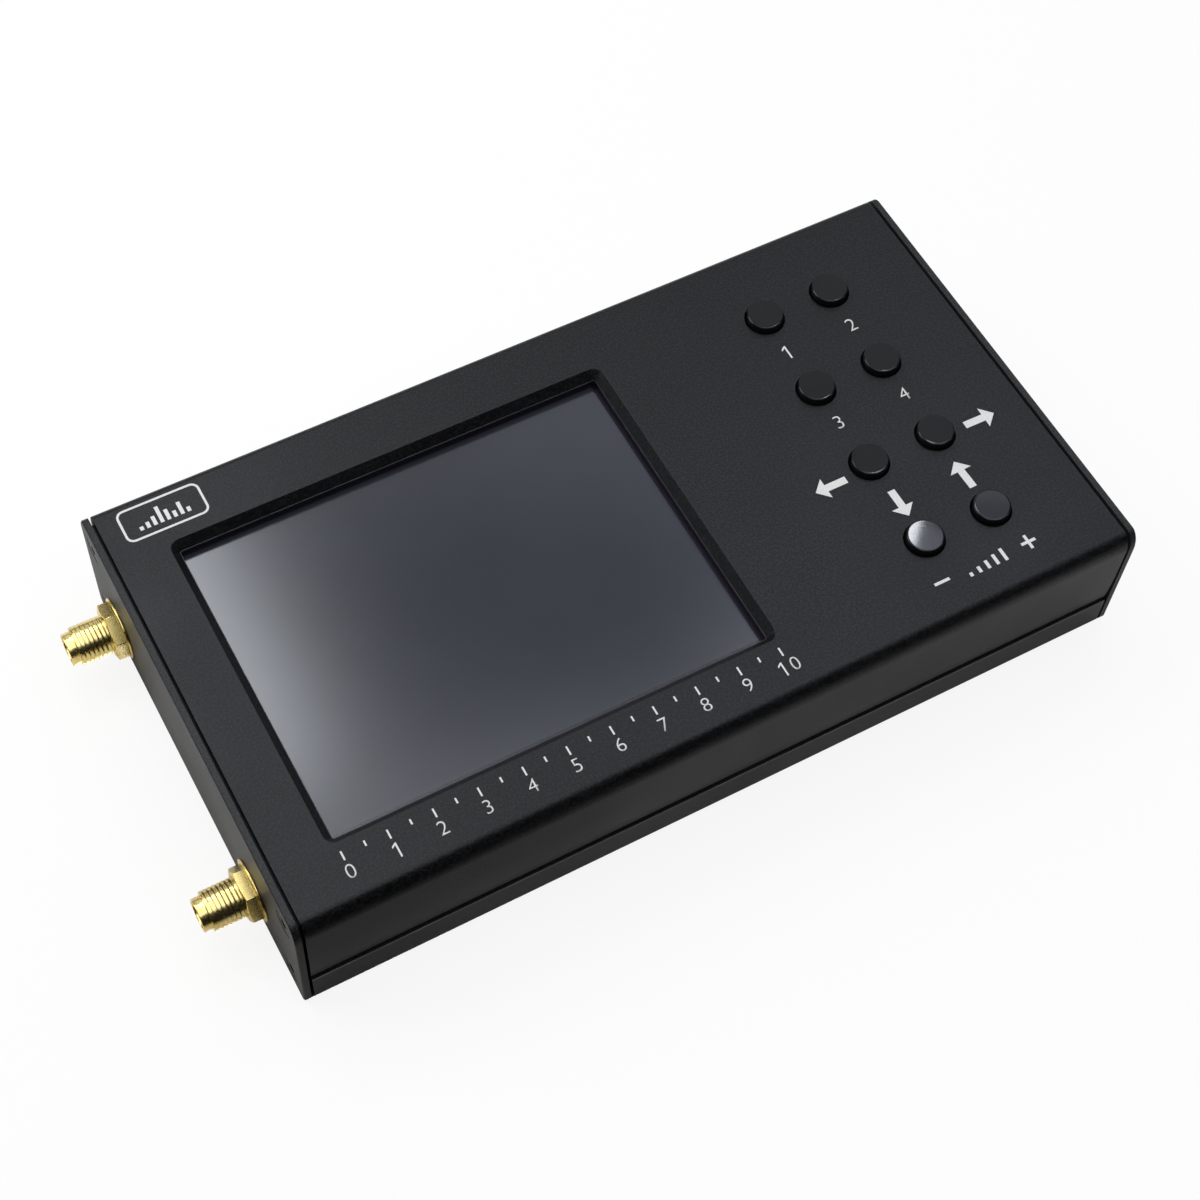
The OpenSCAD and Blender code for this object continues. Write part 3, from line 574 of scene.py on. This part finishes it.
# The thread, how far it starts inside the nut's packed place, and the steps of its wave
PITCH = 0.7056
THREAD_R = 3.175
THREAD_DEPTH = 0.05
THREAD_IN = 0.6
WAVE_STEPS = 8
ROOT_R = 2.85
ROOT_GAP = 0.05
# Plain ring before the thread, and the mouth in it
RING_R = 2.65
RING_LEN = 1.45
RING_GAP = 0.12
RING_ROUND = 0.12
MOUTH_R = 2.3
MOUTH_LEN = 1.9
BORE_R = 2.13
# Square flange behind the plate and the legs on it
FLANGE_T = 1.8
FLANGE_W = 6.6
LEG_Y = 2.55
LEG_UP = 1.3
LEG_L = 4.2
# Lock washer and its teeth
WASHER_RIM = 1.0
WASHER_ROUND = 0.1
WASHER_STEPS = 72
TEETH = 12
TOOTH_IN = 3.35
TOOTH_W = 1.15
TOOTH_LAP = 0.15
TOOTH_SHARE = 0.5
TOOTH_TWIST = 0.16
# What the nuts gain on their packed thickness
NUT_GROWTH = 0.6
NUT_DEBURR = 0.1


def helix(bm, low, high):
    """Thread between two heights, cut flat there. Gives its open edges at both."""
    turns = math.ceil((high - low) / PITCH) + 2
    wave = []
    for step in range(WAVE_STEPS + 1):
        share = step / WAVE_STEPS
        depth = THREAD_DEPTH * (0.5 + 0.5 * math.cos(FULL_TURN * share))
        wave.append((THREAD_R - depth, low - PITCH + PITCH * share))
    wire = outline(bm, wave)
    spin_wire(bm, wire + bm.edges[:], BARREL_STEPS * turns, FULL_TURN * turns, PITCH / BARREL_STEPS)
    bmesh.ops.remove_doubles(bm, verts=bm.verts, dist=1e-3)
    for height, side in ((low, -1), (high, 1)):
        bmesh.ops.bisect_plane(bm, geom=everything(bm), dist=1e-4, plane_co=(0, 0, height),
                               plane_no=(0, 0, side), clear_outer=True)
    return boundary_at(bm, low), boundary_at(bm, high)


def flange(bm):
    """Square flange with its bore, joined to the barrel, and the four legs behind it."""
    squares = []
    for height in (0, -FLANGE_T):
        made = bmesh.ops.create_circle(bm, cap_ends=False, segments=4, radius=FLANGE_W / math.sqrt(2),
                                       matrix=Matrix.Translation((0, 0, height))
                                       @ Matrix.Rotation(FULL_TURN / 8, 4, "Z"))
        squares.append(unique(e for v in made["verts"] for e in v.link_edges))
    front, back = squares
    bmesh.ops.bridge_loops(bm, edges=front + [e for e in boundary_at(bm, 0) if e not in front])
    bmesh.ops.bridge_loops(bm, edges=front + back)
    bmesh.ops.bridge_loops(bm, edges=back + [e for e in boundary_at(bm, -FLANGE_T) if e not in back])
    for across in (-LEG_Y, LEG_Y):
        for up in (-LEG_UP, LEG_UP):
            place = Matrix.Translation((up, across, -FLANGE_T - LEG_L / 2))
            bmesh.ops.create_cube(bm, size=1.0, matrix=place @ Matrix.Diagonal((1.0, 1.0, LEG_L, 1.0)))


def jack_piece(jack):
    """Coaxial jack: a helical thread between root and ring, the mouth, the flange and its legs."""
    low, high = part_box(jack + "_body")
    nut_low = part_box(jack + "_nut")[0]
    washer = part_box(jack + "_washer")
    axis_y = (low.y + high.y) / 2
    axis_z = (washer[0].z + washer[1].z) / 2
    tip = -low.x / MM - INNER_FACE
    thread_to = tip - RING_LEN
    thread_from = -nut_low.x / MM - INNER_FACE - THREAD_IN
    ring_from = thread_to + RING_GAP
    root_to = thread_from - ROOT_GAP
    mouth_foot = tip - MOUTH_LEN
    bm = bmesh.new()
    rear_end, front_end = helix(bm, thread_from, thread_to)
    turned(bm, [(RING_R, ring_from), (RING_R, tip), (MOUTH_R, tip), (MOUTH_R, mouth_foot),
                (BORE_R, mouth_foot), (BORE_R, -FLANGE_T)],
           BARREL_STEPS, rounded=[1, 2], radius=RING_ROUND, segments=3)
    turned(bm, [(ROOT_R, root_to), (ROOT_R, 0)], BARREL_STEPS)
    bmesh.ops.remove_doubles(bm, verts=bm.verts, dist=1e-4)
    bmesh.ops.bridge_loops(bm, edges=front_end + boundary_at(bm, ring_from))
    bmesh.ops.bridge_loops(bm, edges=rear_end + boundary_at(bm, root_to))
    flange(bm)
    close_up(bm)
    move(bm, Matrix.Translation((-INNER_FACE * MM, axis_y, axis_z)) @ FACING_LEFT)
    make_piece(jack + "_thread", bm, gold, "case", [jack + "_body"])


def washer_piece(jack):
    """Lock washer with twisted inner teeth."""
    low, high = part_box(jack + "_washer")
    middle = (low + high) / 2
    thick = (high.x - low.x) / MM
    outer = (high.y - low.y) / 2 / MM
    rim_in = outer - WASHER_RIM
    bm = bmesh.new()
    turned(bm, [(rim_in, -thick / 2), (outer, -thick / 2), (outer, thick / 2), (rim_in, thick / 2),
                (rim_in, -thick / 2)],
           WASHER_STEPS, rounded=[1, 2], radius=WASHER_ROUND, segments=2)
    tooth_l = rim_in - TOOTH_IN + TOOTH_LAP
    place = Matrix.Translation((TOOTH_IN + tooth_l / 2, 0, 0)) @ Matrix.Rotation(TOOTH_TWIST, 4, "X")
    size = Matrix.Diagonal((tooth_l, TOOTH_W, thick * TOOTH_SHARE, 1))
    tooth = bmesh.ops.create_cube(bm, size=1.0, matrix=place @ size)
    faces = unique(f for v in tooth["verts"] for f in v.link_faces)
    bmesh.ops.spin(bm, geom=faces, cent=(0, 0, 0), axis=(0, 0, 1), dvec=(0, 0, 0),
                   angle=FULL_TURN * (TEETH - 1) / TEETH, steps=TEETH - 1, use_duplicate=True)
    close_up(bm)
    move(bm, Matrix.Translation(middle) @ FACING_LEFT)
    make_piece(jack + "_lock_washer", bm, gold, "case", [jack + "_washer"])


def nut_piece(jack):
    """Hex nut, drawn out to the thickness that the photo shows."""
    node = jack + "_nut"
    low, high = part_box(node)
    middle = (low + high) / 2
    bm = merged_copy(node)
    for vert in bm.verts:
        if vert.co.x < middle.x:
            vert.co.x -= NUT_GROWTH * MM
    piece = make_piece(jack + "_hex_nut", bm, gold, stands_for=[node])
    soften(piece, NUT_DEBURR)


# Charging socket and power switch

CONTACTS = 12
CONTACT_STEP = 0.5
CONTACT_IN = 0.3
CONTACT_L = 2.2
CONTACT_W = 0.27
CONTACT_T = 0.03
SLIDER_DEBURR = 0.15


def usb_contacts():
    """Gold strips on both faces of the charging socket's tongue."""
    low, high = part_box("usb_tongue")
    middle = (low + high) / 2
    size = Matrix.Diagonal((CONTACT_L, CONTACT_W, CONTACT_T, 1.0))
    bm = bmesh.new()
    for number in range(CONTACTS):
        across = middle.y + (number - (CONTACTS - 1) / 2) * CONTACT_STEP * MM
        for up in (low.z, high.z):
            place = Matrix.Translation((high.x - (CONTACT_IN + CONTACT_L / 2) * MM, across, up))
            bmesh.ops.create_cube(bm, size=MM, matrix=place @ size)
    make_piece("usb_contacts", bm, gold, smooth=False)


# Window and white print on the top face

WINDOW_X = -24.6
WINDOW_Y = -0.4
WINDOW_L = 71.7
WINDOW_W = 54.1
WINDOW_ROUND = 0.5
# Lighter strip at the foot of the window's bevel that paints its highlight line
LIP = 0.12
LIP_Z = 23.18
# Thickness of the ink
INK = 0.02
# Arrows from tail to tip, half the width of their shafts and heads, and the length of the heads
ARROWS = (((36.4, -9.05), (30.8, -9.05)), ((58.8, -8.8), (64.3, -8.9)),
          ((41.5, -14.0), (41.55, -19.25)), ((53.5, -19.3), (53.35, -13.9)))
ARROW_SHAFT = 0.64
ARROW_WING = 1.92
ARROW_HEAD = 1.95
# The minus sign, then the plus sign's long bar and its two stubs, each as x from, x to, y from, y to
SIGN_BARS = ((38.15, 40.85, -31.95, -31.45), (54.1, 56.7, -31.95, -31.45),
             (55.15, 55.65, -31.45, -30.4), (55.15, 55.65, -33.0, -31.95))
# Small stepped scale between the two signs
STEPS = 5
STEP_X = 44.0
STEP_PITCH = 1.6
STEP_W = 0.55
STEP_FOOT = -33.0
STEP_TOP = -32.3
STEP_RISE = 0.4
# Numbers under the upper keys
KEY_NUMBERS = ((41.0, 16.4), (53.3, 16.4), (41.2, 0.7), (53.5, 0.7))
KEY_NUMBER_H = 2.6
# Graduated scale in front of the display
SCALE_TOP = 10
SCALE_Y = -30.2
LONG_TICK = 1.5
SHORT_TICK = 0.9
TICK_HALF = 0.14
SCALE_NUMBER_Y = -33.7
SCALE_NUMBER_H = 2.4
# Frame at the rear corner and the level bars in it
FRAME_MIDDLE = (-60.1, 33.3)
FRAME_SIZE = (13.5, 6.1)
FRAME_ROUND = 1.3
FRAME_LINE = 0.37
LEVELS = (0.7, 1.1, 1.7, 3.1, 2.0, 1.2, 2.4, 0.9)
LEVEL_X = -64.3
LEVEL_PITCH = 1.1
LEVEL_W = 0.6
LEVEL_FOOT = 31.7
# Share of a figure's size that its height takes, and how much thinner its strokes are made
FIGURE_SHARE = 0.73
FIGURE_THIN = -0.035
# The figure one, drawn in a square of one height, its shift, and the shift of a nought after it
ONE = ((0.37, 0), (0.48, 0), (0.48, 1), (0.39, 1), (0.14, 0.82), (0.14, 0.69), (0.37, 0.85))
ONE_SHIFT = 0.14
NOUGHT_SHIFT = 0.38


def window_lip():
    """Thin lighter strip round the foot of the window's bevel, a painted highlight line."""
    bm = bmesh.new()
    flat_frame(bm, (WINDOW_X, WINDOW_Y), (WINDOW_L, WINDOW_W), WINDOW_ROUND, LIP)
    thicken(bm, LIP, LIP_Z)
    make_piece("window_lip", bm, painted_window_highlight, smooth=False)


def print_piece(name, bm):
    """Gives flat marks the thickness of ink and lays them on the top face."""
    thicken(bm, INK, CASE_H)
    make_piece(name, bm, print_white, smooth=False)


def mark(bm, points):
    """One flat printed shape, from its corners."""
    bm.faces.new([bm.verts.new((x, y, 0)) for x, y in points])


def bar(bm, x0, x1, y0, y1):
    """Printed bar."""
    mark(bm, [(x0, y0), (x1, y0), (x1, y1), (x0, y1)])


def arrow(bm, tail, tip):
    """Printed block arrow."""
    tail = Vector(tail)
    tip = Vector(tip)
    along = (tip - tail).normalized()
    across = Vector((-along.y, along.x))
    neck = tip - along * ARROW_HEAD
    points = [tail + across * ARROW_SHAFT, neck + across * ARROW_SHAFT, neck + across * ARROW_WING, tip,
              neck - across * ARROW_WING, neck - across * ARROW_SHAFT, tail - across * ARROW_SHAFT]
    mark(bm, points)


def figures(bm, number, x, y, height):
    """Adds a number in plain figures, centred on a place. A leading one is drawn from its listed points."""
    text = str(number)
    if text[0] == "1":
        left = ONE_SHIFT - 0.5 * len(text)
        mark(bm, [(x + (u + left) * height, y + (v - 0.5) * height) for u, v in ONE])
        text = text[1:]
        x += NOUGHT_SHIFT * height
    if not text:
        return
    curve = bpy.data.curves.new("figures", "FONT")
    curve.body = text
    curve.align_x = "CENTER"
    curve.align_y = "CENTER"
    curve.size = height / FIGURE_SHARE
    curve.offset = FIGURE_THIN
    carrier = bpy.data.objects.new("figures", curve)
    scene.collection.objects.link(carrier)
    bpy.context.view_layer.update()
    mesh = bpy.data.meshes.new_from_object(carrier.evaluated_get(bpy.context.evaluated_depsgraph_get()))
    mesh.transform(Matrix.Translation((x, y, 0)))
    bm.from_mesh(mesh)
    bpy.data.objects.remove(carrier)
    bpy.data.curves.remove(curve)
    bpy.data.meshes.remove(mesh)


def print_keypad():
    """Arrows, plus, minus and a small stepped scale by the keys, and a number under each upper key."""
    bm = bmesh.new()
    for tail, tip in ARROWS:
        arrow(bm, tail, tip)
    for sides in SIGN_BARS:
        bar(bm, *sides)
    for step in range(STEPS):
        x = STEP_X + step * STEP_PITCH
        bar(bm, x, x + STEP_W, STEP_FOOT, STEP_TOP + STEP_RISE * step)
    print_piece("keypad_print", bm)
    bm = bmesh.new()
    for number, (x, y) in enumerate(KEY_NUMBERS, 1):
        figures(bm, number, x, y, KEY_NUMBER_H)
    print_piece("keypad_numbers", bm)


def print_scale():
    """Graduated scale with plain numbers along the front of the display."""
    bm = bmesh.new()
    left = WINDOW_X - WINDOW_L / 2
    step = WINDOW_L / (2 * SCALE_TOP)
    for tick in range(2 * SCALE_TOP + 1):
        x = left + tick * step
        length = LONG_TICK if tick % 2 == 0 else SHORT_TICK
        bar(bm, x - TICK_HALF, x + TICK_HALF, SCALE_Y - length, SCALE_Y)
    for number in range(SCALE_TOP + 1):
        figures(bm, number, left + number * 2 * step, SCALE_NUMBER_Y, SCALE_NUMBER_H)
    print_piece("scale_print", bm)


def print_frame():
    """Rounded frame at the rear corner with a small row of level bars in it."""
    bm = bmesh.new()
    flat_frame(bm, FRAME_MIDDLE, FRAME_SIZE, FRAME_ROUND, FRAME_LINE)
    for step, height in enumerate(LEVELS):
        x = LEVEL_X + step * LEVEL_PITCH
        bar(bm, x, x + LEVEL_W, LEVEL_FOOT, LEVEL_FOOT + height)
    print_piece("corner_print", bm)


# Build

for part in frame["record"]["subparts"]:
    dress(part["node"], finishes[part["material_slot"]])
case_piece("upper_shell", "upper_case", case_black, case_black, upper_sides, SHELL_DEBURR)
# The lower shell's second finish paints the highlight along its lip
case_piece("lower_shell", "lower_case", case_black, painted_lip_highlight, lower_sides, SHELL_DEBURR)
case_piece("left_plate", "left_end", plate_black, seam_shade_foam, crisp_rim, PLATE_DEBURR)
case_piece("right_plate", "right_end", plate_black, seam_shade_foam, crisp_rim, PLATE_DEBURR)
soften(nodes["power_switch_slider"], SLIDER_DEBURR)
for number in range(1, 9):
    key_piece(number)
for jack in ("in_jack", "out_jack"):
    jack_piece(jack)
    washer_piece(jack)
    nut_piece(jack)
usb_contacts()
print_keypad()
print_scale()
print_frame()
window_lip()


# Floor, lamps and camera, in metres

FLOOR_R = 4.0
FLOOR_PAINT = rgb(0.92, 0.885, 0.825)
# Share of plain white in the floor where the camera sees it straight
CAMERA_GLOW = 0.87
# In reflections the floor fades to dark along this way, between these two distances
FADE_WAY = (-0.22, -1.0, 0.0)
FADE_FROM = 0.041
FADE_TO = 0.082
# The room as it shows and as it lights
ROOM_SHOWN = rgb(0.9, 0.9, 0.9)
ROOM_LIGHT = rgb(0.012, 0.0125, 0.014)
COOL = (0.91, 0.945, 1.0)
SKY = (0.78, 0.84, 1.0)
# Right of the photo's viewpoint and away from it, along the floor
VIEW_SIDE = Vector((0.877, -0.4806, 0.0))
VIEW_AWAY = Vector((0.4806, 0.877, 0.0))
# Place and axes of the camera, as fitted to the photo
CAMERA_PLACE = (-0.10491, -0.16011, 0.31679)
CAMERA_RIGHT = Vector((0.8761, -0.480103, 0.044151))
CAMERA_DOWN = Vector((-0.39074, -0.760695, -0.51833))
CAMERA_AHEAD = Vector((0.282437, 0.436857, -0.85404))
SENSOR_MM = 36.0
LENS_MM = 68.37


def pale_floor():
    """White floor that keeps the shadow, is clear from below and lets the under lamp through."""
    bm = bmesh.new()
    bmesh.ops.create_circle(bm, cap_ends=True, segments=96, radius=FLOOR_R)
    mesh = bpy.data.meshes.new("floor")
    bm.to_mesh(mesh)
    bm.free()
    floor = bpy.data.objects.new("floor", mesh)
    scene.collection.objects.link(floor)
    finish = Finish("floor_white", {"Base Color": FLOOR_PAINT, "Roughness": 0.9, "Specular IOR Level": 0.0})
    rays = finish.node("LightPath").outputs
    seen = finish.math("MULTIPLY", rays["Is Camera Ray"], CAMERA_GLOW)
    glow = finish.node("Emission", {"Color": rgb(1, 1, 1), "Strength": 1.0})
    shown = finish.node("MixShader", {0: seen, 1: finish.shader.outputs[0], 2: glow.outputs[0]})
    ahead = finish.node("VectorMath", {0: finish.place, 1: FADE_WAY}, operation="DOT_PRODUCT")
    fade = finish.ease(ahead.outputs["Value"], FADE_FROM, FADE_TO)
    beyond = finish.math("MULTIPLY", rays["Is Glossy Ray"], fade)
    dark = finish.node("Emission", {"Color": rgb(0, 0, 0), "Strength": 0.0})
    shown = finish.node("MixShader", {0: beyond, 1: shown.outputs[0], 2: dark.outputs[0]})
    clear = finish.node("BsdfTransparent")
    under = finish.node("NewGeometry").outputs["Backfacing"]
    under = finish.math("MAXIMUM", under, rays["Is Shadow Ray"])
    whole = finish.node("MixShader", {0: under, 1: shown.outputs[0], 2: clear.outputs[0]})
    finish.tree.links.new(whole.outputs[0], finish.tree.nodes["Material Output"].inputs["Surface"])
    mesh.materials.append(finish.material)


def pale_room():
    """Room that shows pale to the camera and lights dark."""
    world = bpy.data.worlds.new("room")
    world.use_nodes = True
    tree = world.node_tree
    dark = tree.nodes["Background"]
    dark.inputs["Color"].default_value = ROOM_LIGHT
    pale = tree.nodes.new("ShaderNodeBackground")
    pale.inputs["Color"].default_value = ROOM_SHOWN
    seen = tree.nodes.new("ShaderNodeLightPath")
    both = tree.nodes.new("ShaderNodeMixShader")
    tree.links.new(seen.outputs["Is Camera Ray"], both.inputs[0])
    tree.links.new(dark.outputs[0], both.inputs[1])
    tree.links.new(pale.outputs[0], both.inputs[2])
    tree.links.new(both.outputs[0], tree.nodes["World Output"].inputs["Surface"])
    scene.world = world
    scene.view_settings.view_transform = "Standard"


def from_view(right, ahead, up):
    """Place measured along the viewpoint's right, away from it over the floor, and up."""
    return VIEW_SIDE * right + VIEW_AWAY * ahead + Vector((0, 0, up))


def softbox(name, place, target, size, level, tint=COOL):
    """Square lamp with an even face of that radiance."""
    lamp = bpy.data.lights.new(name, "AREA")
    lamp.shape = "RECTANGLE"
    lamp.size, lamp.size_y = size
    lamp.energy = level * math.pi * size[0] * size[1]
    lamp.color = tint
    holder = bpy.data.objects.new(name, lamp)
    scene.collection.objects.link(holder)
    aim = Vector(target) - Vector(place)
    holder.matrix_world = Matrix.Translation(place) @ aim.to_track_quat("-Z", "Y").to_matrix().to_4x4()


def lamps():
    """Panel overhead, pale backdrop, a key light for the display's glow, side lights and small lamps."""
    softbox("over_light", place=from_view(0.1, -0.06, 0.9), target=from_view(0.0998, -0.059, 0.0),
            size=(1.0, 0.98), level=1.86)
    softbox("backdrop_light", place=from_view(0.0, 1.0, 0.85), target=from_view(0.0, 0.0, 0.85),
            size=(1.6, 1.3), level=0.84)
    softbox("key_light", place=(-0.036, 0.325, 0.52), target=(-0.036, 0.325, 0.0),
            size=(0.128, 0.2), level=8.6)
    softbox("left_light", place=(-0.24, -0.38, 0.6), target=(0.0, 0.0, 0.0),
            size=(0.22, 0.22), level=1.5)
    softbox("right_light", place=(0.55, -0.24, 0.4), target=(0.0, 0.0, 0.0),
            size=(0.16, 0.16), level=2.3)
    softbox("back_left_light", place=(-0.37, 0.3, 0.36), target=(-0.09, 0.05, 0.0),
            size=(0.4, 0.4), level=2.9)
    softbox("small_lamp", place=(0.2812, 0.2176, 0.5283), target=(0.0413, -0.024, 0.026),
            size=(0.02, 0.032), level=36.5)
    softbox("sky_lamp", place=(0.2883, 0.1241, 0.5684), target=(0.05, -0.03, 0.026),
            size=(0.2, 0.14), level=2.75, tint=SKY)
    softbox("blue_lamp", place=(0.312, 0.2012, 0.5203), target=(0.0475, -0.024, 0.026),
            size=(0.041, 0.05), level=1.75, tint=SKY)
    softbox("under_lamp", place=(0.0, 0.0, -0.35), target=(0.0, 0.0, 0.0),
            size=(0.13, 0.07), level=32.0)


def photo_camera():
    """Camera at the photograph's place, from its fitted axes."""
    lens = bpy.data.cameras.new("photo_camera")
    lens.sensor_width = SENSOR_MM
    lens.lens = LENS_MM
    lens.clip_start = 0.01
    lens.clip_end = 20.0
    camera = bpy.data.objects.new("photo_camera", lens)
    scene.collection.objects.link(camera)
    axes = Matrix((CAMERA_RIGHT, -CAMERA_DOWN, -CAMERA_AHEAD)).transposed().to_4x4()
    camera.matrix_world = Matrix.Translation(CAMERA_PLACE) @ axes
    scene.camera = camera


pale_floor()
pale_room()
lamps()
photo_camera()
